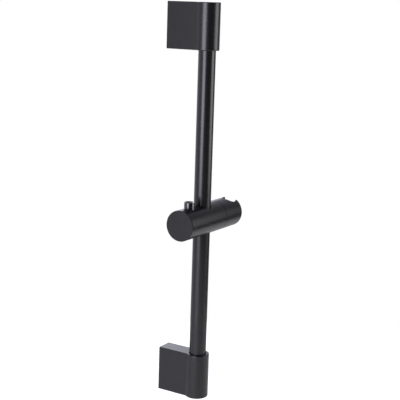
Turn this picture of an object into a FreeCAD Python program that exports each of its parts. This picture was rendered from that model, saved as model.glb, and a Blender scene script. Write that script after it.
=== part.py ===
import FreeCAD, Part
import math
import os
import re
import Sketcher

# Shower slide rail: a round rail held off the wall by two brackets, with a hand-shower
# slider that a push button frees. Millimetres, +Z up, wall plane at Y = 0, room side at -Y.
# The origin is the centre of the lower bracket's wall face.

doc = FreeCAD.newDocument("shower_slide_rail")

SIZES = {
    # Rail and brackets
    "overall_height": 514,
    "rail_diameter": 22,
    "rail_wall": 1.2,
    "rail_standoff": 53.2,
    "bracket_height": 59,
    "bracket_width": 23.4,
    "boss_diameter": 30.4,
    "web_fillet": 3,
    "bracket_edge_fillet": 1,
    "socket_depth": 46,
    "socket_clearance": 0.1,
    "socket_chamfer": 0.6,
    "plug_flange": 2,
    "plug_depth": 12,
    "plug_wall": 2,
    "plug_clearance": 0.1,
    # Wall plates and the grub screws that lock the brackets on them
    "pocket_side_wall": 2.6,
    "pocket_end_wall": 6,
    "pocket_depth": 16,
    "plate_thickness": 8,
    "plate_clearance": 0.15,
    "wall_hole_diameter": 5,
    "wall_hole_spacing": 32,
    "wall_hole_sink": 9,
    "grub_diameter": 4,
    "grub_inset": 0.8,
    "grub_hex": 2,
    "grub_hex_depth": 2,
    "thread_clearance": 0.05,
    # Slider body, its guide rings and its end cap
    "slider_height": 210.3,
    "slider_diameter": 39.4,
    "cap_reach": 52.6,
    "cap_thickness": 4,
    "cap_chamfer": 0.5,
    "cap_spigot": 5,
    "body_reach": 30,
    "seam_bevel": 0.2,
    "mouth_fillet": 0.6,
    "rail_bore_gap": 0.5,
    "ring_wall": 2,
    "ring_length": 4,
    "ring_land": 0.6,
    "ring_clearance": 0.06,
    "ring_end_play": 0.1,
    "ring_split_angle": 8,
    # Brake: a sprung shoe with a rubber pad, drawn back by the button's leaning stem
    "brake_diameter": 16,
    "brake_clearance": 0.08,
    "brake_back": 36,
    "brake_spring_seat": 3,
    "pad_thickness": 2.4,
    "pad_height": 12,
    "pad_angle": 46,
    "pad_gap": 0.06,
    "spring_diameter": 11,
    "spring_wire": 1.2,
    "spring_turns": 4.5,
    "spring_clearance": 0.3,
    "spring_pilot": 3.4,
    "button_offset": 31,
    "button_diameter": 13.4,
    "button_rise": 7,
    "button_edge_fillet": 1.2,
    "button_clearance": 0.1,
    "button_travel": 4,
    "button_under_gap": 1,
    "stem_lean": 1,
    "stem_slope": 0.5,
    "stem_width": 6,
    "stem_thickness": 5,
    "stem_clearance": 0.3,
    "stem_end_gap": 0.6,
    # Cradle with its conical seat, and the friction pivot that carries it
    "cradle_reach": 70.8,
    "cradle_gap": 0.3,
    "cradle_lean": 5,
    "cradle_chamfer": 1.4,
    "seat_end_offset": 9.2,
    "seat_top_diameter": 20.5,
    "seat_bottom_diameter": 18.6,
    "slot_width": 17.6,
    "seat_edge_fillet": 0.6,
    "spigot_diameter": 14,
    "spigot_length": 5,
    "spigot_clearance": 0.08,
    "disc_diameter": 30,
    "disc_thickness": 1,
    "disc_clearance": 0.05,
    "insert_diameter": 8,
    "insert_length": 11,
    "pivot_wall": 13,
    "screw_diameter": 5,
    "screw_clearance": 0.15,
    "screw_head_diameter": 8.5,
    "screw_head_length": 5,
    "screw_hex": 4,
    "screw_hex_depth": 2.5,
    "head_recess_clearance": 0.9,
    "washer_diameter": 10,
    "washer_thickness": 0.6,
    "washer_dish": 0.4,
}

sheet = doc.addObject("Spreadsheet::Sheet", "Sizes")
for row, (alias, value) in enumerate(SIZES.items(), start=1):
    sheet.set("A%d" % row, alias)
    sheet.set("B%d" % row, str(value))
    sheet.setAlias("B%d" % row, alias)
doc.recompute()

# Lengths that follow from the sheet, as expressions
PITCH = "(overall_height - bracket_height)"
BRACKET_HALF = "(bracket_height / 2)"
RAIL_R = "(rail_diameter / 2)"
SOCKET_FLOOR = "(bracket_height / 2 - socket_depth)"
RAIL_FOOT = "(bracket_height / 2 - socket_depth + plug_flange)"
POCKET_HALF_WIDTH = "(bracket_width / 2 - pocket_side_wall)"
POCKET_HALF_HEIGHT = "(bracket_height / 2 - pocket_end_wall)"
SLIDER_R = "(slider_diameter / 2)"
BODY_LEFT = "(cap_reach - cap_thickness)"
BRAKE_BORE_R = "(brake_diameter / 2 + brake_clearance)"
RING_FOOT = "(brake_diameter / 2 + brake_clearance + ring_land)"
RING_R = "(rail_diameter / 2 + ring_clearance + ring_wall)"
PAD_FACE_R = "(rail_diameter / 2 + pad_gap)"
PAD_BACK_R = "(rail_diameter / 2 + pad_gap + pad_thickness)"
SPRING_LEFT = "(cap_reach - cap_thickness - cap_spigot)"
SPRING_RIGHT = "(brake_back - brake_spring_seat)"
BUTTON_FOOT = "(brake_diameter / 2 + button_travel + button_under_gap)"
STEM_TOP_X = "(button_offset + stem_lean)"
STEM_FOOT = "(-brake_diameter / 2 + button_travel + stem_end_gap)"
SEAT_X = "(cradle_reach - seat_end_offset)"
CRADLE_FACE = "(body_reach + cradle_gap)"
DISC_FLOOR = "(body_reach + disc_thickness + disc_clearance)"
SPIGOT_END = "(body_reach - spigot_length + cradle_gap)"
INSERT_MOUTH = "(body_reach - spigot_length)"
INSERT_END = "(body_reach - spigot_length - insert_length)"
HEAD_SEAT = "(body_reach + cradle_gap + pivot_wall)"
HEAD_FOOT = "(body_reach + cradle_gap + pivot_wall + washer_thickness + washer_dish)"
HEAD_RECESS_R = "(washer_diameter / 2 + head_recess_clearance)"
PAST = "slider_diameter"


def size(text):
    """The expression with each of the sheet's names in it made a reference to its cell."""
    def cell(match):
        word = match.group(0)
        return "Sizes." + word if word in SIZES else word
    return re.sub(r"[a-z_]+", cell, text)


def bind(feature, path, text):
    feature.setExpression(path, size(text))


def new_body(label):
    body = doc.addObject("PartDesign::Body", label)
    body.Label = label
    return body


def new_sketch(body, plane, offset):
    """An empty sketch on one of the body's origin planes, shifted by the named offsets."""
    sketch = body.newObject("Sketcher::SketchObject", body.Label + "_sketch")
    support = [item for item in body.Origin.OriginFeatures if item.Role == plane][0]
    sketch.AttachmentSupport = (support, [""])
    sketch.MapMode = "FlatFace"
    for axis, text in (offset or {}).items():
        bind(sketch, ".AttachmentOffset.Base." + axis, text)
    return sketch


def pin(sketch, item, point, across, up, start):
    """Hold one point of a sketch at a place given by two expressions."""
    for kind, axis, text, value in (("DistanceX", -2, across, start.x), ("DistanceY", -1, up, start.y)):
        if text == "0":
            sketch.addConstraint(Sketcher.Constraint("PointOnObject", item, point, axis))
        else:
            index = sketch.addConstraint(Sketcher.Constraint(kind, -1, 1, item, point, value))
            bind(sketch, "Constraints[%d]" % index, text)


def polygon(body, plane, corners, offset=None):
    """A closed outline of straight lines through corners, each given by two expressions."""
    sketch = new_sketch(body, plane, offset)
    count = len(corners)
    turns = [2 * math.pi * index / count for index in range(count)]
    starts = [FreeCAD.Vector(math.cos(turn), math.sin(turn), 0) for turn in turns]
    for index in range(count):
        sketch.addGeometry(Part.LineSegment(starts[index], starts[(index + 1) % count]))
    for index in range(count):
        sketch.addConstraint(Sketcher.Constraint("Coincident", index, 2, (index + 1) % count, 1))
    for index, (across, up) in enumerate(corners):
        pin(sketch, index, 1, across, up, starts[index])
    return sketch


def circle(body, plane, diameter, across, up, offset=None):
    """A circle whose diameter and centre are expressions."""
    sketch = new_sketch(body, plane, offset)
    start = FreeCAD.Vector(1, 1, 0)
    sketch.addGeometry(Part.Circle(start, FreeCAD.Vector(0, 0, 1), 1))
    index = sketch.addConstraint(Sketcher.Constraint("Diameter", 0, 2))
    bind(sketch, "Constraints[%d]" % index, diameter)
    pin(sketch, 0, 3, across, up, start)
    return sketch


def block(low_x, high_x, low_y, high_y):
    """The four corners of a rectangle."""
    return [(low_x, low_y), (high_x, low_y), (high_x, high_y), (low_x, high_y)]


def hexagon(across):
    """The six corners of a hexagon of the given width across its flats."""
    tip = "%s * tan(30 deg)" % across
    half_tip = "%s / 2 * tan(30 deg)" % across
    flat = "%s / 2" % across
    return [
        (tip, "0"), (half_tip, flat), ("-" + half_tip, flat),
        ("-" + tip, "0"), ("-" + half_tip, "-" + flat), (half_tip, "-" + flat),
    ]


def extrude(body, kind, sketch, length, side="One side", reverse=False):
    """A Pad or Pocket of a sketch; a pocket must take material away."""
    feature = body.newObject("PartDesign::" + kind, body.Label + "_" + kind.lower())
    feature.Profile = sketch
    feature.SideType = side
    feature.Reversed = reverse
    bind(feature, "Length", length)
    body.Tip = feature
    settle(body, feature, kind == "Pocket")
    return feature


def revolve(body, kind, sketch, axis, angle=None):
    """A Revolution or Groove of a sketch about its own axis, full or centred on its plane."""
    feature = body.newObject("PartDesign::" + kind, body.Label + "_" + kind.lower())
    feature.Profile = sketch
    feature.ReferenceAxis = (sketch, [axis])
    if angle:
        feature.Midplane = True
        bind(feature, "Angle", angle)
    body.Tip = feature
    settle(body, feature, kind == "Groove")
    return feature


def settle(body, feature, cuts):
    """Recompute, and stop if a cut left the volume of the body as it was."""
    before = feature.BaseFeature.Shape.Volume if feature.BaseFeature else 0
    doc.recompute()
    if cuts and not feature.Shape.Volume < before - 1e-3:
        raise RuntimeError("cut takes nothing away: " + body.Label)


def dress(body, kind, amount, wanted):
    """A Fillet or Chamfer on the edges of the body that the test picks out."""
    base = body.Tip
    names = ["Edge%d" % index for index, edge in enumerate(base.Shape.Edges, start=1) if wanted(edge)]
    feature = body.newObject("PartDesign::" + kind, body.Label + "_" + kind.lower())
    feature.Base = (base, names)
    bind(feature, "Radius" if kind == "Fillet" else "Size", amount)
    body.Tip = feature
    doc.recompute()
    return feature


def mouth_edges(body, low_x):
    """A test for the edges where openings break through the skin of a lying cylinder, past low_x."""
    shape = body.Tip.Shape
    skin = [face for face in shape.Faces if on_skin(face)]
    inside = [face for face in shape.Faces if not on_skin(face)]

    def borders(edge, faces):
        return any(edge.isSame(other) for face in faces for other in face.Edges)

    return lambda edge: edge.BoundBox.XMin > low_x and borders(edge, skin) and borders(edge, inside)


def on_skin(face):
    """True on the slider's outer cylinder, its chamfers and its flat outer end."""
    surface = face.Surface
    radius = sheet.get("slider_diameter") / 2
    if isinstance(surface, Part.Cylinder):
        return abs(surface.Radius - radius) < 1e-3
    outermost = face.BoundBox.XMax > sheet.get("cradle_reach") - 1e-3
    return outermost and abs(abs(surface.Axis.x) - 1) < 1e-6


def place(body, x="0", y="0", z="0", upside_down=False):
    """Put a body at its place in the assembly; upside down turns it half round about Y."""
    if upside_down:
        body.Placement = FreeCAD.Placement(FreeCAD.Vector(), FreeCAD.Rotation(FreeCAD.Vector(0, 1, 0), 180))
    for axis, text in (("x", x), ("y", y), ("z", z)):
        if text != "0":
            bind(body, ".Placement.Base." + axis, text)


def place_on_rail(body):
    place(body, y="-rail_standoff")


def place_on_slider(body):
    place(body, y="-rail_standoff", z="slider_height")


# Brackets: a flat web from the wall ends in a round boss with a blind socket for the rail.
# One moulding serves both ends, turned upside down at the top.
def wall_bracket(label):
    body = new_body(label)
    half_width = sheet.get("bracket_width") / 2
    half_height = sheet.get("bracket_height") / 2
    web = block("-bracket_width / 2", "bracket_width / 2", "-rail_standoff", "0")
    extrude(body, "Pad", polygon(body, "XY_Plane", web), "bracket_height", "Symmetric")
    boss = circle(body, "XY_Plane", "boss_diameter", "0", "-rail_standoff")
    extrude(body, "Pad", boss, "bracket_height", "Symmetric")

    def inner_corner(edge):
        box = edge.BoundBox
        upright = box.XLength < 1e-6 and box.YLength < 1e-6
        return upright and box.YMax < -1e-3 and abs(abs(box.XMin) - half_width) < 1e-3

    def end_rim(edge):
        box = edge.BoundBox
        return box.ZLength < 1e-6 and abs(abs(box.ZMin) - half_height) < 1e-3 and box.YMin < -1e-3

    dress(body, "Fillet", "web_fillet", inner_corner)
    dress(body, "Fillet", "bracket_edge_fillet", end_rim)
    recess = block("-" + POCKET_HALF_WIDTH, POCKET_HALF_WIDTH, "-" + POCKET_HALF_HEIGHT, POCKET_HALF_HEIGHT)
    extrude(body, "Pocket", polygon(body, "XZ_Plane", recess), "pocket_depth", reverse=True)
    socket_r = RAIL_R + " + socket_clearance"
    mouth_r = socket_r + " + socket_chamfer"
    socket = [
        ("0", SOCKET_FLOOR), (socket_r, SOCKET_FLOOR), (socket_r, BRACKET_HALF + " - socket_chamfer"),
        (mouth_r, BRACKET_HALF), (mouth_r, BRACKET_HALF + " + socket_chamfer"),
        ("0", BRACKET_HALF + " + socket_chamfer"),
    ]
    revolve(body, "Groove", polygon(body, "YZ_Plane", socket, {"x": "-rail_standoff"}), "V_Axis")
    tapping = block("0", "grub_diameter / 2 + thread_clearance", "-bracket_height",
                    "-%s + thread_clearance" % POCKET_HALF_HEIGHT)
    revolve(body, "Groove", polygon(body, "YZ_Plane", tapping, {"x": "-plate_thickness / 2"}), "V_Axis")
    return body


# Wall plates: small blocks screwed to the wall, each buried in the back of its bracket.
def wall_plate(label):
    body = new_body(label)
    half_width = POCKET_HALF_WIDTH + " - plate_clearance"
    half_height = POCKET_HALF_HEIGHT + " - plate_clearance"
    outline = block("-%s + plate_clearance" % POCKET_HALF_WIDTH, half_width,
                    "-%s + plate_clearance" % POCKET_HALF_HEIGHT, half_height)
    extrude(body, "Pad", polygon(body, "XZ_Plane", outline), "plate_thickness")
    sink_start = "-plate_thickness + (wall_hole_sink - wall_hole_diameter) / 2"
    hole = [
        ("plate_thickness", "0"), ("plate_thickness", "wall_hole_diameter / 2"),
        (sink_start, "wall_hole_diameter / 2"), ("-plate_thickness", "wall_hole_sink / 2"),
        ("-2 * plate_thickness", "wall_hole_sink / 2"), ("-2 * plate_thickness", "0"),
    ]
    for shift in ("wall_hole_spacing / 2", "-wall_hole_spacing / 2"):
        revolve(body, "Groove", polygon(body, "YZ_Plane", hole, {"y": shift}), "H_Axis")
    return body


# Grub screws: headless, with a hexagon socket, up through the bracket's end wall.
def grub_screw(label):
    body = new_body(label)
    tip = "-%s + plate_clearance" % POCKET_HALF_HEIGHT
    foot = "-%s + grub_inset" % BRACKET_HALF
    shank = block("0", "grub_diameter / 2", foot, tip)
    revolve(body, "Revolution", polygon(body, "YZ_Plane", shank, {"x": "-plate_thickness / 2"}), "V_Axis")
    drive = polygon(body, "XY_Plane", hexagon("grub_hex"), {"y": "-plate_thickness / 2", "z": foot})
    extrude(body, "Pocket", drive, "grub_hex_depth", reverse=True)
    return body


# Rail plugs: flanged cups that close the tube's ends and stand on the socket floors.
def tube_plug(label):
    body = new_body(label)
    bore_r = RAIL_R + " - rail_wall - plug_clearance"
    cup_r = bore_r + " - plug_wall"
    cup_top = RAIL_FOOT + " + plug_depth"
    profile = [
        ("0", SOCKET_FLOOR), (RAIL_R, SOCKET_FLOOR), (RAIL_R, RAIL_FOOT), (bore_r, RAIL_FOOT),
        (bore_r, cup_top), (cup_r, cup_top), (cup_r, RAIL_FOOT), ("0", RAIL_FOOT),
    ]
    revolve(body, "Revolution", polygon(body, "XZ_Plane", profile), "V_Axis")
    return body


for end, height, turned in (("lower", "0", False), ("upper", PITCH, True)):
    place(wall_bracket(end + "_bracket"), z=height, upside_down=turned)
    place(wall_plate(end + "_wall_plate"), z=height, upside_down=turned)
    place(grub_screw(end + "_grub_screw"), z=height, upside_down=turned)
    place(tube_plug(end + "_tube_plug"), y="-rail_standoff", z=height, upside_down=turned)

# Rail: a plain round tube between the two sockets.
rail_tube = new_body("rail_tube")
rail_section = block(RAIL_R + " - rail_wall", RAIL_R, RAIL_FOOT, "%s - %s" % (PITCH, RAIL_FOOT))
revolve(rail_tube, "Revolution", polygon(rail_tube, "XZ_Plane", rail_section), "V_Axis")
place_on_rail(rail_tube)

# Guide rings: split bushes in grooves of the slider body, running on the rail.
for name, side in (("lower_guide_ring", "-"), ("upper_guide_ring", "")):
    guide_ring = new_body(name)
    ring_section = block(RAIL_R + " + ring_clearance", RING_R,
                         side + RING_FOOT, "%s(%s + ring_length)" % (side, RING_FOOT))
    revolve(guide_ring, "Revolution", polygon(guide_ring, "XZ_Plane", ring_section), "V_Axis",
            "360 - ring_split_angle")
    place_on_slider(guide_ring)

# Slider body: a lying cylinder, crossed by the rail, bored from one end for the brake
# and from the other for the cradle's pivot.
slider_body = new_body("slider_body")
barrel = [
    ("-" + BODY_LEFT, "0"), ("-" + BODY_LEFT, SLIDER_R), ("body_reach - seam_bevel", SLIDER_R),
    ("body_reach", SLIDER_R + " - seam_bevel"), ("body_reach", "0"),
]
revolve(slider_body, "Revolution", polygon(slider_body, "XY_Plane", barrel), "H_Axis")
rail_bore = block("0", RAIL_R + " + rail_bore_gap", "-" + PAST, PAST)
revolve(slider_body, "Groove", polygon(slider_body, "XZ_Plane", rail_bore), "V_Axis")
button_well = block("0", "button_diameter / 2 + button_clearance", "0", PAST)
well_sketch = polygon(slider_body, "XZ_Plane", button_well, {"x": "-button_offset"})
revolve(slider_body, "Groove", well_sketch, "V_Axis")
mouths = mouth_edges(slider_body, -sheet.get("cap_reach"))
dress(slider_body, "Fillet", "mouth_fillet", lambda edge: edge.BoundBox.XLength > 1e-3 and mouths(edge))
for side in ("-", ""):
    groove = block("0", RING_R + " + ring_clearance", "%s(%s - ring_end_play)" % (side, RING_FOOT),
                   "%s(%s + ring_length + ring_end_play)" % (side, RING_FOOT))
    revolve(slider_body, "Groove", polygon(slider_body, "XZ_Plane", groove), "V_Axis")
brake_bore = block("-" + PAST + " - cap_reach", "0", "0", BRAKE_BORE_R)
revolve(slider_body, "Groove", polygon(slider_body, "XY_Plane", brake_bore), "H_Axis")
spigot_r = "spigot_diameter / 2 + spigot_clearance"
pivot_bore = [
    (INSERT_END, "0"), (INSERT_END, "insert_diameter / 2"), (INSERT_MOUTH, "insert_diameter / 2"),
    (INSERT_MOUTH, spigot_r), ("body_reach + spigot_length", spigot_r), ("body_reach + spigot_length", "0"),
]
revolve(slider_body, "Groove", polygon(slider_body, "XY_Plane", pivot_bore), "H_Axis")
place_on_slider(slider_body)

# End cap: closes the brake bore with a spigot, and carries the spring on a short pilot.
end_cap = new_body("end_cap")
pilot_r = "spring_diameter / 2 - spring_wire - spring_clearance"
pilot_end = "-%s + spring_pilot" % SPRING_LEFT
cap_profile = [
    ("-cap_reach", "0"), ("-cap_reach", SLIDER_R + " - cap_chamfer"), ("-cap_reach + cap_chamfer", SLIDER_R),
    ("-" + BODY_LEFT, SLIDER_R), ("-" + BODY_LEFT, "brake_diameter / 2"),
    ("-" + SPRING_LEFT, "brake_diameter / 2"), ("-" + SPRING_LEFT, pilot_r),
    (pilot_end, pilot_r), (pilot_end, "0"),
]
revolve(end_cap, "Revolution", polygon(end_cap, "XY_Plane", cap_profile), "H_Axis")
place_on_slider(end_cap)

# Brake shoe: a plunger with a leaning slot for the button's stem and a hollow front
# that carries the pad.
brake_shoe = new_body("brake_shoe")
plunger = block("-brake_back", "0", "0", "brake_diameter / 2")
revolve(brake_shoe, "Revolution", polygon(brake_shoe, "XY_Plane", plunger), "H_Axis")
hollow_front = block("0", PAD_BACK_R, "-brake_diameter", "brake_diameter")
revolve(brake_shoe, "Groove", polygon(brake_shoe, "XZ_Plane", hollow_front), "V_Axis")
spring_seat = block("-brake_back - brake_spring_seat", "-" + SPRING_RIGHT,
                    "0", "spring_diameter / 2 + spring_clearance")
revolve(brake_shoe, "Groove", polygon(brake_shoe, "XY_Plane", spring_seat), "H_Axis")


def leaning(half_thickness, low, high):
    """Corners of a bar that leans by the stem's slope, from one height to another."""
    def middle(height):
        return "-%s - stem_slope * (%s - %s)" % (STEM_TOP_X, height, BUTTON_FOOT)
    return [
        (middle(low) + " - " + half_thickness, low), (middle(low) + " + " + half_thickness, low),
        (middle(high) + " + " + half_thickness, high), (middle(high) + " - " + half_thickness, high),
    ]


stem_slot = leaning("(stem_thickness / 2 + stem_clearance)", "(-brake_diameter)", "brake_diameter")
extrude(brake_shoe, "Pocket", polygon(brake_shoe, "XZ_Plane", stem_slot), "stem_width + 2 * stem_clearance",
        "Symmetric")
place_on_slider(brake_shoe)

# Brake pad: a curved rubber block on the shoe, face to face with the rail.
brake_pad = new_body("brake_pad")
pad_section = block("-" + PAD_BACK_R, "-" + PAD_FACE_R, "-pad_height / 2", "pad_height / 2")
revolve(brake_pad, "Revolution", polygon(brake_pad, "XZ_Plane", pad_section), "V_Axis", "pad_angle")
place_on_slider(brake_pad)

# Brake spring: an open coil between the end cap and the shoe.
brake_spring = new_body("brake_spring")
wire = circle(brake_spring, "XY_Plane", "spring_wire", "-%s + spring_wire / 2" % SPRING_LEFT,
              "spring_diameter / 2 - spring_wire / 2")
coil = brake_spring.newObject("PartDesign::AdditiveHelix", "brake_spring_coil")
coil.Profile = wire
coil.ReferenceAxis = (wire, ["H_Axis"])
coil.Mode = "height-turns-angle"
bind(coil, "Height", "%s - %s - spring_wire" % (SPRING_LEFT, SPRING_RIGHT))
bind(coil, "Turns", "spring_turns")
brake_spring.Tip = coil
place_on_slider(brake_spring)

# Push button: a round head over a leaning stem that draws the brake shoe back.
push_button = new_body("push_button")
button_top = SLIDER_R + " + button_rise"
head = block("0", "button_diameter / 2", BUTTON_FOOT, button_top)
revolve(push_button, "Revolution", polygon(push_button, "XZ_Plane", head, {"x": "-button_offset"}), "V_Axis")
top_height = sheet.get("slider_diameter") / 2 + sheet.get("button_rise")
dress(push_button, "Fillet", "button_edge_fillet",
      lambda edge: abs(edge.BoundBox.ZMin - top_height) < 1e-3 and edge.BoundBox.ZLength < 1e-6)
stem = leaning("stem_thickness / 2", STEM_FOOT, BUTTON_FOOT)
extrude(push_button, "Pad", polygon(push_button, "XZ_Plane", stem), "stem_width", "Symmetric")
place_on_slider(push_button)

# Cradle: the far end of the cylinder, with a conical seat open to the end by a slot. It is
# shown leaning a little to the room, as a hand shower is left.
cradle = new_body("cradle")
cradle_profile = [
    (SPIGOT_END, "0"), (SPIGOT_END, "spigot_diameter / 2"), (DISC_FLOOR, "spigot_diameter / 2"),
    (DISC_FLOOR, "disc_diameter / 2 + disc_clearance"), (CRADLE_FACE, "disc_diameter / 2 + disc_clearance"),
    (CRADLE_FACE, SLIDER_R + " - seam_bevel"), (CRADLE_FACE + " + seam_bevel", SLIDER_R),
    ("cradle_reach - cradle_chamfer", SLIDER_R), ("cradle_reach", SLIDER_R + " - cradle_chamfer"),
    ("cradle_reach", "0"),
]
revolve(cradle, "Revolution", polygon(cradle, "XY_Plane", cradle_profile), "H_Axis")
screw_way_r = "screw_diameter / 2 + screw_clearance"
screw_way = [
    ("0", "0"), ("0", screw_way_r), (HEAD_SEAT, screw_way_r),
    (HEAD_SEAT, HEAD_RECESS_R), (SEAT_X, HEAD_RECESS_R), (SEAT_X, "0"),
]
revolve(cradle, "Groove", polygon(cradle, "XY_Plane", screw_way), "H_Axis")
seat_cone = [
    ("0", "-" + SLIDER_R), ("seat_bottom_diameter / 2", "-" + SLIDER_R),
    ("seat_top_diameter / 2", SLIDER_R), ("0", SLIDER_R),
]
revolve(cradle, "Groove", polygon(cradle, "XZ_Plane", seat_cone, {"x": SEAT_X}), "V_Axis")
slot_outline = block(SEAT_X, "cradle_reach + " + PAST, "-slot_width / 2", "slot_width / 2")
extrude(cradle, "Pocket", polygon(cradle, "XY_Plane", slot_outline), "2 * slider_diameter", "Symmetric")
seat_start = sheet.get("body_reach") + sheet.get("pivot_wall")
dress(cradle, "Fillet", "seat_edge_fillet", mouth_edges(cradle, seat_start))
cradle.Placement = FreeCAD.Placement(FreeCAD.Vector(), FreeCAD.Rotation(FreeCAD.Vector(1, 0, 0), 1))
bind(cradle, ".Placement.Rotation.Angle", "cradle_lean")
place_on_slider(cradle)

# Pivot: a friction disc between the two cylinder faces, and a sprung screw through the
# cradle into a threaded insert of the slider body.
friction_disc = new_body("friction_disc")
disc_section = block("body_reach", "body_reach + disc_thickness",
                     spigot_r + " + disc_clearance", "disc_diameter / 2")
revolve(friction_disc, "Revolution", polygon(friction_disc, "XY_Plane", disc_section), "H_Axis")
place_on_slider(friction_disc)

pivot_insert = new_body("pivot_insert")
insert_section = block(INSERT_END, INSERT_MOUTH,
                       "screw_diameter / 2 + thread_clearance", "insert_diameter / 2")
revolve(pivot_insert, "Revolution", polygon(pivot_insert, "XY_Plane", insert_section), "H_Axis")
place_on_slider(pivot_insert)

spring_washer = new_body("spring_washer")
washer_section = [
    (HEAD_SEAT + " + disc_clearance", "washer_diameter / 2"),
    (HEAD_SEAT + " + disc_clearance + washer_thickness", "washer_diameter / 2"),
    (HEAD_FOOT, screw_way_r), (HEAD_FOOT + " - washer_thickness", screw_way_r),
]
revolve(spring_washer, "Revolution", polygon(spring_washer, "XY_Plane", washer_section), "H_Axis")
place_on_slider(spring_washer)

pivot_screw = new_body("pivot_screw")
head_end = HEAD_FOOT + " + screw_head_length"
screw_profile = [
    (INSERT_END, "0"), (INSERT_END, "screw_diameter / 2"), (HEAD_FOOT, "screw_diameter / 2"),
    (HEAD_FOOT, "screw_head_diameter / 2"), (head_end, "screw_head_diameter / 2"), (head_end, "0"),
]
revolve(pivot_screw, "Revolution", polygon(pivot_screw, "XY_Plane", screw_profile), "H_Axis")
drive = polygon(pivot_screw, "YZ_Plane", hexagon("screw_hex"), {"z": head_end})
extrude(pivot_screw, "Pocket", drive, "screw_hex_depth")
place_on_slider(pivot_screw)

# Each sub-part is written only when the whole document is sound.
doc.recompute()
for item in doc.Objects:
    if "Invalid" in item.State or "Error" in item.State:
        raise RuntimeError("failed feature: " + item.Name)
pieces = [item for item in doc.Objects if item.isDerivedFrom("PartDesign::Body")]
for piece in pieces:
    if piece.Shape.isNull() or not piece.Shape.isValid():
        raise RuntimeError("bad shape: " + piece.Label)
os.makedirs("parts", exist_ok=True)
for piece in pieces:
    piece.Shape.exportStep("parts/%s.step" % piece.Label)
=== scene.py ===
import math

import bpy
import numpy as np
from mathutils import Matrix, Vector


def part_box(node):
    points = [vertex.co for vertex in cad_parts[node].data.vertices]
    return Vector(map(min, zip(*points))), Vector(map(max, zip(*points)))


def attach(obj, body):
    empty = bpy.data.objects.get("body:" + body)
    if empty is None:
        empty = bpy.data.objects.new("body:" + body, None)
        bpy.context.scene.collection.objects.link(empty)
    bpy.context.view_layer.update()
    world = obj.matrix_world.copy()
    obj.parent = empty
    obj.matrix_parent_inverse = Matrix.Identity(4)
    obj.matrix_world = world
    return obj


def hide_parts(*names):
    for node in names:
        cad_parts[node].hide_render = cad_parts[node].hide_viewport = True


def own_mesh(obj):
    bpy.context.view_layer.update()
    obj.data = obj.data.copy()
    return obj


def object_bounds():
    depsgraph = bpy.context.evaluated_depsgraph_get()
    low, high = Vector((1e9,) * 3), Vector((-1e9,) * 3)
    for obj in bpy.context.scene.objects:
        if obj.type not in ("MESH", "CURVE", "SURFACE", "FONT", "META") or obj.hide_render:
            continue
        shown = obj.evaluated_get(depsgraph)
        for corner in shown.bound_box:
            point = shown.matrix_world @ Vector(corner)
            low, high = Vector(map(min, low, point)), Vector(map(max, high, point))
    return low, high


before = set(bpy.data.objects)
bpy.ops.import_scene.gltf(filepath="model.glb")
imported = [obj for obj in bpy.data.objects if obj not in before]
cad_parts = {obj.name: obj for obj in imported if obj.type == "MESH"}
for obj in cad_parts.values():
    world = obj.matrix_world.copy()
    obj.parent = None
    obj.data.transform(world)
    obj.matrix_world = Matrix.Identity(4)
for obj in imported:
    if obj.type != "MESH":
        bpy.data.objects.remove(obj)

cad_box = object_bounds()

# Wall plates: blocks moulded in natural grey nylon and screwed to the wall through two
# countersunk holes. The brackets slide over them, so only their backs show.
MM = 0.001
NYLON_SHADES = ("999892", "a1a09a")
NYLON_IOR = 1.53
NYLON_GLOSS = (0.44, 0.56)
NYLON_BUMP = 0.25
NYLON_GRAIN_MM = 0.8
CLOUD_MM = 14.0
CLOUD_DETAIL = 2.0
GRAIN_DETAIL = 3.0
GRAIN_ROUGHNESS = 0.6
RELIEF_MM = 0.05


def linear(hex_colour):
    """An sRGB hex colour as linear red, green, blue and full alpha."""
    levels = np.array([int(hex_colour[i:i + 2], 16) for i in (0, 2, 4)]) / 255
    low = levels / 12.92
    high = ((levels + 0.055) / 1.055) ** 2.4
    return tuple(np.where(levels <= 0.04045, low, high)) + (1.0,)


def add(tree, kind, settings=None, links=None):
    """One node of a kind, with property or socket values, and links by the socket's name or number."""
    node = tree.nodes.new(kind)
    for name, value in (settings or {}).items():
        if isinstance(name, str) and hasattr(node, name):
            setattr(node, name, value)
        else:
            node.inputs[name].default_value = value
    for name, source in (links or {}).items():
        tree.links.new(source, node.inputs[name])
    return node


def bare_tree(owner):
    """The node tree of a material or a world, emptied."""
    owner.use_nodes = True
    owner.node_tree.nodes.clear()
    return owner.node_tree


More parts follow.
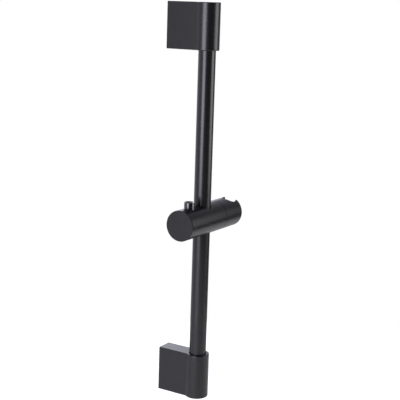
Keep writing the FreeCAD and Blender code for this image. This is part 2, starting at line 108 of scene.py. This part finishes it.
def finish_of(name, shades, shader, gloss, bump, grain_mm):
    """A coated or moulded surface: slow clouds move the colour between two shades, and a fine grain
    moves the roughness from the lower to the higher gloss value and lifts a bump."""
    material = bpy.data.materials.new(name)
    tree = bare_tree(material)
    place = add(tree, "ShaderNodeTexCoord")
    clouds = add(tree, "ShaderNodeTexNoise", {"Scale": 1 / (CLOUD_MM * MM), "Detail": CLOUD_DETAIL},
                 {"Vector": place.outputs["Object"]})
    colour = add(tree, "ShaderNodeMixRGB", {"Color1": linear(shades[0]), "Color2": linear(shades[1])},
                 {"Fac": clouds.outputs["Fac"]})
    grain = add(tree, "ShaderNodeTexNoise",
                {"Scale": 1 / (grain_mm * MM), "Detail": GRAIN_DETAIL, "Roughness": GRAIN_ROUGHNESS},
                {"Vector": place.outputs["Object"]})
    roughness = add(tree, "ShaderNodeMapRange", {"To Min": gloss[0], "To Max": gloss[1]},
                    {"Value": grain.outputs["Fac"]})
    relief = add(tree, "ShaderNodeBump", {"Strength": bump, "Distance": RELIEF_MM * MM},
                 {"Height": grain.outputs["Fac"]})
    surface = add(tree, "ShaderNodeBsdfPrincipled", shader,
                  {"Base Color": colour.outputs["Color"], "Roughness": roughness.outputs["Result"],
                   "Normal": relief.outputs["Normal"]})
    add(tree, "ShaderNodeOutputMaterial", links={"Surface": surface.outputs["BSDF"]})
    return material


def dress(material, *nodes):
    """Give a finish to CAD nodes."""
    for node in nodes:
        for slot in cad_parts[node].material_slots:
            slot.material = material


# Nylon straight from the mould: pale grey, dull, with a faint spark texture.
natural_nylon = finish_of("moulded_grey_nylon", NYLON_SHADES, {"IOR": NYLON_IOR},
                          NYLON_GLOSS, NYLON_BUMP, NYLON_GRAIN_MM)
dress(natural_nylon, "upper_wall_plate", "lower_wall_plate")

# Brackets: a flat web and a round boss moulded as one piece in ABS and spray-painted satin
# black. Each slides over its wall plate and takes one end of the rail in its boss.
BLACK_SHADES = ("19191a", "1d1d1e")
PAINT_IOR = 1.5
PAINT_GLOSS = (0.26, 0.34)
PAINT_BUMP = 0.1
PAINT_PEEL_MM = 0.5
# Satin paint: the fine orange peel breaks reflections up a little and leaves a soft sheen.
black_paint = finish_of("satin_black_painted_abs", BLACK_SHADES, {"IOR": PAINT_IOR},
                        PAINT_GLOSS, PAINT_BUMP, PAINT_PEEL_MM)
dress(black_paint, "upper_bracket", "lower_bracket")

# Grub screws: small steel set screws with a zinc plating, driven through the outer end wall
# of each bracket to lock it on its wall plate.
ZINC_SHADES = ("b4b4b1", "bebebb")
ZINC_GLOSS = (0.26, 0.38)
ZINC_BUMP = 0.1
ZINC_GRAIN_MM = 0.3
# Zinc plating: a cool grey metal, a little cloudy and only half bright.
zinc_plate = finish_of("zinc_plated_steel", ZINC_SHADES, {"Metallic": 1.0},
                       ZINC_GLOSS, ZINC_BUMP, ZINC_GRAIN_MM)
dress(zinc_plate, "upper_grub_screw", "lower_grub_screw")

# Rail: a drawn steel tube with a baked satin black powder coat, pushed into both bosses.
# A nylon plug closes each of its ends.
POWDER_IOR = 1.5
POWDER_GLOSS = (0.24, 0.32)
POWDER_BUMP = 0.1
POWDER_PEEL_MM = 0.7
# Powder coat: the paint's black but smoother, so the long highlights on the tube stay crisp.
black_powder = finish_of("satin_black_powder_coat", BLACK_SHADES, {"IOR": POWDER_IOR},
                         POWDER_GLOSS, POWDER_BUMP, POWDER_PEEL_MM)
dress(black_powder, "rail_tube")
dress(natural_nylon, "upper_tube_plug", "lower_tube_plug")

# Slider: a round body with a cap pressed into one end and a slotted cradle on the other,
# moulded in ABS and painted with the brackets. Split nylon rings inside run on the rail.
dress(black_paint, "slider_body", "end_cap", "cradle")
dress(natural_nylon, "upper_guide_ring", "lower_guide_ring")

# Push button: moulded in black ABS with a hollow for the thumb and lacquered clear against
# wear. Its head slides in the body, and a leaning stem under it draws the brake shoe back.
BUTTON_IOR = 1.53
BUTTON_GLOSS = (0.21, 0.27)
BUTTON_BUMP = 0.06
BUTTON_GRAIN_MM = 0.6
LACQUER_WEIGHT = 0.7
LACQUER_ROUGHNESS = 0.16
BUTTON_RADIUS = 6.7 * MM
HEAD_TALL = 13.7 * MM
RIM_LIFT = 0.6 * MM
RIM_ROUND = 0.5 * MM
DISH_EDGE_DEG = 34
BUTTON_SIDES = 96
RIM_STEPS = 9
DISH_STEPS = 14
STEM_MARGIN = 0.1 * MM
MERGE_DIGITS = 7
SHARP_DEG = 40


def ring_walls(rings, sides):
    """Quads between each ring of points and the next: a point, the one after it round its ring, and
    the same two of the next ring."""
    here = np.arange(sides)
    after = np.roll(here, -1)
    low = np.arange(rings - 1)[:, None] * sides
    high = low + sides
    walls = np.stack([low + here, low + after, high + after, high + here], axis=2)
    return walls.reshape(-1, 4).tolist()


def turned(axis, profile, sides):
    """A profile of radius and height carried round an upright axis: x and y are the radius times the
    cosine and sine of the turn. The profile starts and ends on the axis, where it closes in a point."""
    turn = np.linspace(0, 2 * np.pi, sides, endpoint=False)
    radius = profile[1:-1, 0][:, None]
    height = np.repeat(profile[1:-1, 1][:, None], sides, axis=1)
    rings = np.stack([axis[0] + radius * np.cos(turn), axis[1] + radius * np.sin(turn), height], axis=2)
    poles = [[axis[0], axis[1], profile[0, 1]], [axis[0], axis[1], profile[-1, 1]]]
    points = np.vstack([rings.reshape(-1, 3), poles])
    here = np.arange(sides)
    after = np.roll(here, -1)
    first_pole = np.full(sides, len(points) - 2)
    last_pole = np.full(sides, len(points) - 1)
    last = (len(radius) - 1) * sides
    under = np.stack([first_pole, after, here], axis=1)
    over = np.stack([last + here, last + after, last_pole], axis=1)
    return points, ring_walls(len(radius), sides) + under.tolist() + over.tolist()


def new_piece(name, points, faces, material):
    """An object at the origin with its place in its mesh, shaded smooth except over sharp edges."""
    mesh = bpy.data.meshes.new(name)
    mesh.from_pydata(points.tolist(), [], faces)
    mesh.shade_smooth()
    mesh.set_sharp_from_angle(angle=math.radians(SHARP_DEG))
    mesh.materials.append(material)
    piece = bpy.data.objects.new(name, mesh)
    bpy.context.scene.collection.objects.link(piece)
    return piece


button_low, button_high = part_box("push_button")
button_axis = (button_low[0] + BUTTON_RADIUS, (button_low[1] + button_high[1]) / 2)
head_foot = button_high[2] - HEAD_TALL
rim_top = button_high[2] + RIM_LIFT
dish_edge = math.radians(DISH_EDGE_DEG)

# Round the rim by a quarter turn and on to the slope at which the dish begins, then a parabola.
over_rim = np.linspace(0, math.pi / 2 + dish_edge, RIM_STEPS)
rim_line = np.stack([BUTTON_RADIUS - RIM_ROUND + RIM_ROUND * np.cos(over_rim),
                     rim_top - RIM_ROUND + RIM_ROUND * np.sin(over_rim)], axis=1)
dish_radius, dish_start = rim_line[-1]
dish_depth = dish_radius * math.tan(dish_edge) / 2
inwards = np.linspace(1, 0, DISH_STEPS)[1:]
dish_line = np.stack([dish_radius * inwards, dish_start - dish_depth * (1 - inwards ** 2)], axis=1)
foot_line = np.array([[0, head_foot], [BUTTON_RADIUS, head_foot]])
head_profile = np.vstack([foot_line, rim_line, dish_line])
head_points, head_faces = turned(button_axis, head_profile, BUTTON_SIDES)

# The stem is the CAD button's own facets below its head, with their corners merged and a face
# across the end that meets the head.
cad_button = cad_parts["push_button"].data
corners = np.empty(len(cad_button.vertices) * 3)
cad_button.vertices.foreach_get("co", corners)
order = np.empty(len(cad_button.loops), dtype=int)
cad_button.loops.foreach_get("vertex_index", order)
facets = corners.reshape(-1, 3)[order].reshape(-1, 3, 3)
stem = facets[facets[:, :, 2].min(axis=1) < head_foot - STEM_MARGIN]
stem_points, stem_order = np.unique(stem.reshape(-1, 3).round(MERGE_DIGITS), axis=0,
                                    return_inverse=True)
stem_end = np.flatnonzero(stem_points[:, 2] > head_foot - STEM_MARGIN)
from_middle = stem_points[stem_end] - stem_points[stem_end].mean(axis=0)
stem_end = stem_end[np.argsort(np.arctan2(from_middle[:, 1], from_middle[:, 0]))]
stem_first = len(head_points)
stem_faces = (stem_order.reshape(-1, 3) + stem_first).tolist() + [(stem_end + stem_first).tolist()]

# Lacquer: a clear coat over the black, so the side of the head shows a sharp bright line.
lacquered_abs = finish_of("lacquered_black_abs", BLACK_SHADES,
                          {"IOR": BUTTON_IOR, "Coat Weight": LACQUER_WEIGHT,
                           "Coat Roughness": LACQUER_ROUGHNESS},
                          BUTTON_GLOSS, BUTTON_BUMP, BUTTON_GRAIN_MM)
dished_button = new_piece("dished_push_button", np.vstack([head_points, stem_points]),
                          head_faces + stem_faces, lacquered_abs)
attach(dished_button, "button")
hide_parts("push_button")

# Brake: a moulded nylon shoe with a rubber pad glued to its front, pushed against the rail
# by a coiled spring of plated steel wire. The spring stands between the cap and the shoe. On
# the real rail it gets shorter as the button draws the shoe back; here the coil keeps its rest
# length and rides with the slider.
RUBBER_SHADES = ("1e1e1e", "222222")
RUBBER_IOR = 1.52
RUBBER_GLOSS = (0.67, 0.83)
RUBBER_BUMP = 0.4
RUBBER_GRAIN_MM = 0.4
# Brake rubber: dull near-black with a rough moulded skin.
brake_rubber = finish_of("moulded_brake_rubber", RUBBER_SHADES, {"IOR": RUBBER_IOR},
                         RUBBER_GLOSS, RUBBER_BUMP, RUBBER_GRAIN_MM)
dress(natural_nylon, "brake_shoe")
dress(brake_rubber, "brake_pad")
COIL_RADIUS = 4.9 * MM
WIRE_RADIUS = 0.6 * MM
COIL_TURNS = 4.5
COIL_STEPS = 181
WIRE_SIDES = 16


def coiled(start, length, radius, turns, wire, steps, sides):
    """A round wire carried along a helix in x: the path runs along x by the length while it turns round
    the axis at the radius, and the wire's circle lies across the path, between the direction out of
    the axis and its cross product with the path's own direction. A flat face closes each end."""
    along = np.linspace(0, 1, steps)
    turn = 2 * np.pi * turns * along
    none = np.zeros(steps)
    lead = np.full(steps, length / (2 * np.pi * turns))
    outwards = np.stack([none, np.cos(turn), np.sin(turn)], axis=1)
    path = np.array(start) + radius * outwards
    path[:, 0] += length * along
    onwards = np.stack([lead, -radius * np.sin(turn), radius * np.cos(turn)], axis=1)
    onwards /= np.linalg.norm(onwards, axis=1, keepdims=True)
    across = np.cross(onwards, outwards)
    section = np.linspace(0, 2 * np.pi, sides, endpoint=False)[None, :, None]
    rings = path[:, None] + wire * (np.cos(section) * outwards[:, None] + np.sin(section) * across[:, None])
    first_end = np.arange(sides)
    last_end = first_end + (steps - 1) * sides
    ends = [first_end[::-1].tolist(), last_end.tolist()]
    return rings.reshape(-1, 3), ring_walls(steps, sides) + ends


spring_low, spring_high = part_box("brake_spring")
shoe_low, shoe_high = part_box("brake_shoe")
spring_length = spring_high[0] - spring_low[0]
bore_y = (shoe_low[1] + shoe_high[1]) / 2
bore_z = (shoe_low[2] + shoe_high[2]) / 2
spring_start = (spring_low[0] + WIRE_RADIUS, bore_y, bore_z)
spring_points, spring_faces = coiled(spring_start, spring_length - 2 * WIRE_RADIUS, COIL_RADIUS,
                                     COIL_TURNS, WIRE_RADIUS, COIL_STEPS, WIRE_SIDES)
coiled_spring = new_piece("coiled_brake_spring", spring_points, spring_faces, zinc_plate)
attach(coiled_spring, "slider")
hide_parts("brake_spring")
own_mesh(coiled_spring)

# Pivot of the cradle: a plated steel screw with a dished washer under its head, held by a
# turned brass insert in the body. A nylon disc gives the friction that holds the cradle.
BRASS_SHADES = ("c59f55", "cda95f")
BRASS_GLOSS = (0.25, 0.35)
BRASS_BUMP = 0.1
BRASS_LATHE_MM = 0.25
# Turned brass: warm yellow metal. Its lathe marks are a grain, drawn coarse enough to show.
turned_brass = finish_of("turned_brass", BRASS_SHADES, {"Metallic": 1.0},
                         BRASS_GLOSS, BRASS_BUMP, BRASS_LATHE_MM)
dress(turned_brass, "pivot_insert")
dress(zinc_plate, "pivot_screw", "spring_washer")
dress(natural_nylon, "friction_disc")

# Table: a round sheet of white paper below the rail. It takes the shadow, and its glow for
# the camera grows to full white at the rim, so that it runs into the backdrop.
TABLE_DROP = 0.25
TABLE_RADIUS = 1.35
TABLE_CENTRE = (-0.3, -0.1)
TABLE_SIDES = 96
TABLE_WHITE = "f4f4f2"
TABLE_GLOW = 0.62
TABLE_MIRRORED = 0.31
FADE_START = 0.6
PURE_WHITE = "ffffff"
table_z = cad_box[0][2] - TABLE_DROP
turn = np.linspace(0, 2 * np.pi, TABLE_SIDES, endpoint=False)
rim = np.stack([TABLE_CENTRE[0] + TABLE_RADIUS * np.cos(turn),
                TABLE_CENTRE[1] + TABLE_RADIUS * np.sin(turn),
                np.full(TABLE_SIDES, table_z)], axis=1)
table_finish = bpy.data.materials.new("white_table_paper")
tree = bare_tree(table_finish)
path = add(tree, "ShaderNodeLightPath")
where = add(tree, "ShaderNodeTexCoord")
outwards = add(tree, "ShaderNodeVectorMath", {"operation": "DISTANCE", 1: TABLE_CENTRE + (table_z,)},
               {0: where.outputs["Object"]})
fade = add(tree, "ShaderNodeMapRange",
           {"From Min": FADE_START, "From Max": TABLE_RADIUS, "To Min": TABLE_GLOW, "To Max": 1.0},
           {"Value": outwards.outputs["Value"]})
seen = add(tree, "ShaderNodeMath", {"operation": "MULTIPLY"},
           {0: path.outputs["Is Camera Ray"], 1: fade.outputs["Result"]})
mirrored = add(tree, "ShaderNodeMath", {"operation": "MAXIMUM"},
               {0: path.outputs["Is Glossy Ray"], 1: path.outputs["Is Transmission Ray"]})
level = add(tree, "ShaderNodeMath", {"operation": "MULTIPLY_ADD", 1: TABLE_MIRRORED},
            {0: mirrored.outputs[0], 2: seen.outputs[0]})
paper = add(tree, "ShaderNodeBsdfDiffuse", {"Color": linear(TABLE_WHITE)})
glow = add(tree, "ShaderNodeEmission", {"Color": linear(PURE_WHITE)}, {"Strength": level.outputs[0]})
both = add(tree, "ShaderNodeAddShader", links={0: paper.outputs[0], 1: glow.outputs[0]})
add(tree, "ShaderNodeOutputMaterial", links={"Surface": both.outputs[0]})
table = new_piece("table", rim, [list(range(TABLE_SIDES))], table_finish)

# Backdrop and room: white paper all round for the camera. For reflections the room is bright
# behind the rail and dark in front, so the black finish shows a dark band by its highlights.
COOL_PAPER = "f0f0ff"
ROOM_DARK = 0.02
ROOM_FILL = 0.45
BRIGHT_WAY = (0.1, 0.96, 0.2)
DARK_FRONT = -0.5
WHITE_BACK = 1.1
world = bpy.data.worlds.new("studio")
tree = bare_tree(world)
path = add(tree, "ShaderNodeLightPath")
where = add(tree, "ShaderNodeTexCoord")
towards = add(tree, "ShaderNodeVectorMath", {"operation": "DOT_PRODUCT", 1: BRIGHT_WAY},
              {0: where.outputs["Generated"]})
room = add(tree, "ShaderNodeMapRange",
           {"From Min": DARK_FRONT, "From Max": WHITE_BACK, "To Min": ROOM_DARK},
           {"Value": towards.outputs["Value"]})
share = add(tree, "ShaderNodeMapRange", {"To Min": ROOM_FILL, "To Max": 1.0},
            {"Value": path.outputs["Is Glossy Ray"]})
soft = add(tree, "ShaderNodeMath", {"operation": "MULTIPLY"},
           {0: room.outputs["Result"], 1: share.outputs["Result"]})
paper = add(tree, "ShaderNodeBackground", {"Color": linear(COOL_PAPER)}, {"Strength": soft.outputs[0]})
backdrop = add(tree, "ShaderNodeBackground", {"Color": linear(PURE_WHITE)})
shown = add(tree, "ShaderNodeMath", {"operation": "MAXIMUM"},
            {0: path.outputs["Is Camera Ray"], 1: path.outputs["Is Transmission Ray"]})
sky = add(tree, "ShaderNodeMixShader",
          links={0: shown.outputs[0], 1: paper.outputs[0], 2: backdrop.outputs[0]})
add(tree, "ShaderNodeOutputWorld", links={"Surface": sky.outputs[0]})
bpy.context.scene.world = world

# Lamps: a wide cool softbox square to the brackets' sides, a neutral one on the cradle's
# side that draws the second line on the rail, and one behind and above for the upper faces.
AIM_HEIGHT = 0.23
RAIL_MIDDLE = Vector((0.0, cad_box[0][1] / 2, AIM_HEIGHT))


def softbox(name, colour, azimuth_deg, height, distance, width, tall, radiance):
    """A rectangular lamp at an azimuth and height, aimed at the rail's middle. Its power is pi times
    its area times its radiance."""
    azimuth = math.radians(azimuth_deg)
    lamp = bpy.data.lights.new(name, "AREA")
    lamp.shape = "RECTANGLE"
    lamp.size = width
    lamp.size_y = tall
    lamp.color = linear(colour)[:3]
    lamp.energy = math.pi * width * tall * radiance
    holder = bpy.data.objects.new(name, lamp)
    place = Vector((math.sin(azimuth) * distance, -math.cos(azimuth) * distance, height))
    holder.location = place
    holder.rotation_euler = (RAIL_MIDDLE - place).to_track_quat("-Z", "Y").to_euler()
    holder.visible_camera = False
    bpy.context.scene.collection.objects.link(holder)


softbox("key_softbox", COOL_PAPER, azimuth_deg=-90, height=0.38, distance=1.7,
        width=1.0, tall=1.0, radiance=7.2)
softbox("cradle_side_softbox", PURE_WHITE, azimuth_deg=30, height=0.46, distance=1.7,
        width=1.1, tall=1.08, radiance=3.6)
softbox("back_softbox", COOL_PAPER, azimuth_deg=132, height=0.8, distance=1.7,
        width=0.8, tall=0.7, radiance=2.2)

# Camera: a long lens at the photograph's place, level with the rail's top and looking down.
# Its place, turn and lens were found from the edges of rail, brackets and slider.
CAMERA_PLACE = (-1.0628, -0.7050, 0.4845)
CAMERA_YAW_DEG = -58.336
CAMERA_DOWN_DEG = 11.298
CAMERA_ROLL_DEG = 1.8045
CAMERA_LENS_MM = 89.27
SENSOR_MM = 36.0
camera = bpy.data.cameras.new("camera")
camera.lens = CAMERA_LENS_MM
camera.sensor_width = SENSOR_MM
camera.sensor_fit = "HORIZONTAL"
camera_holder = bpy.data.objects.new("camera", camera)
yaw = Matrix.Rotation(math.radians(CAMERA_YAW_DEG), 4, "Z")
tip = Matrix.Rotation(math.radians(90 - CAMERA_DOWN_DEG), 4, "X")
roll = Matrix.Rotation(math.radians(CAMERA_ROLL_DEG), 4, "Z")
camera_holder.matrix_world = Matrix.Translation(CAMERA_PLACE) @ yaw @ tip @ roll
bpy.context.scene.collection.objects.link(camera_holder)
bpy.context.scene.camera = camera_holder
bpy.context.scene.view_settings.view_transform = "Standard"
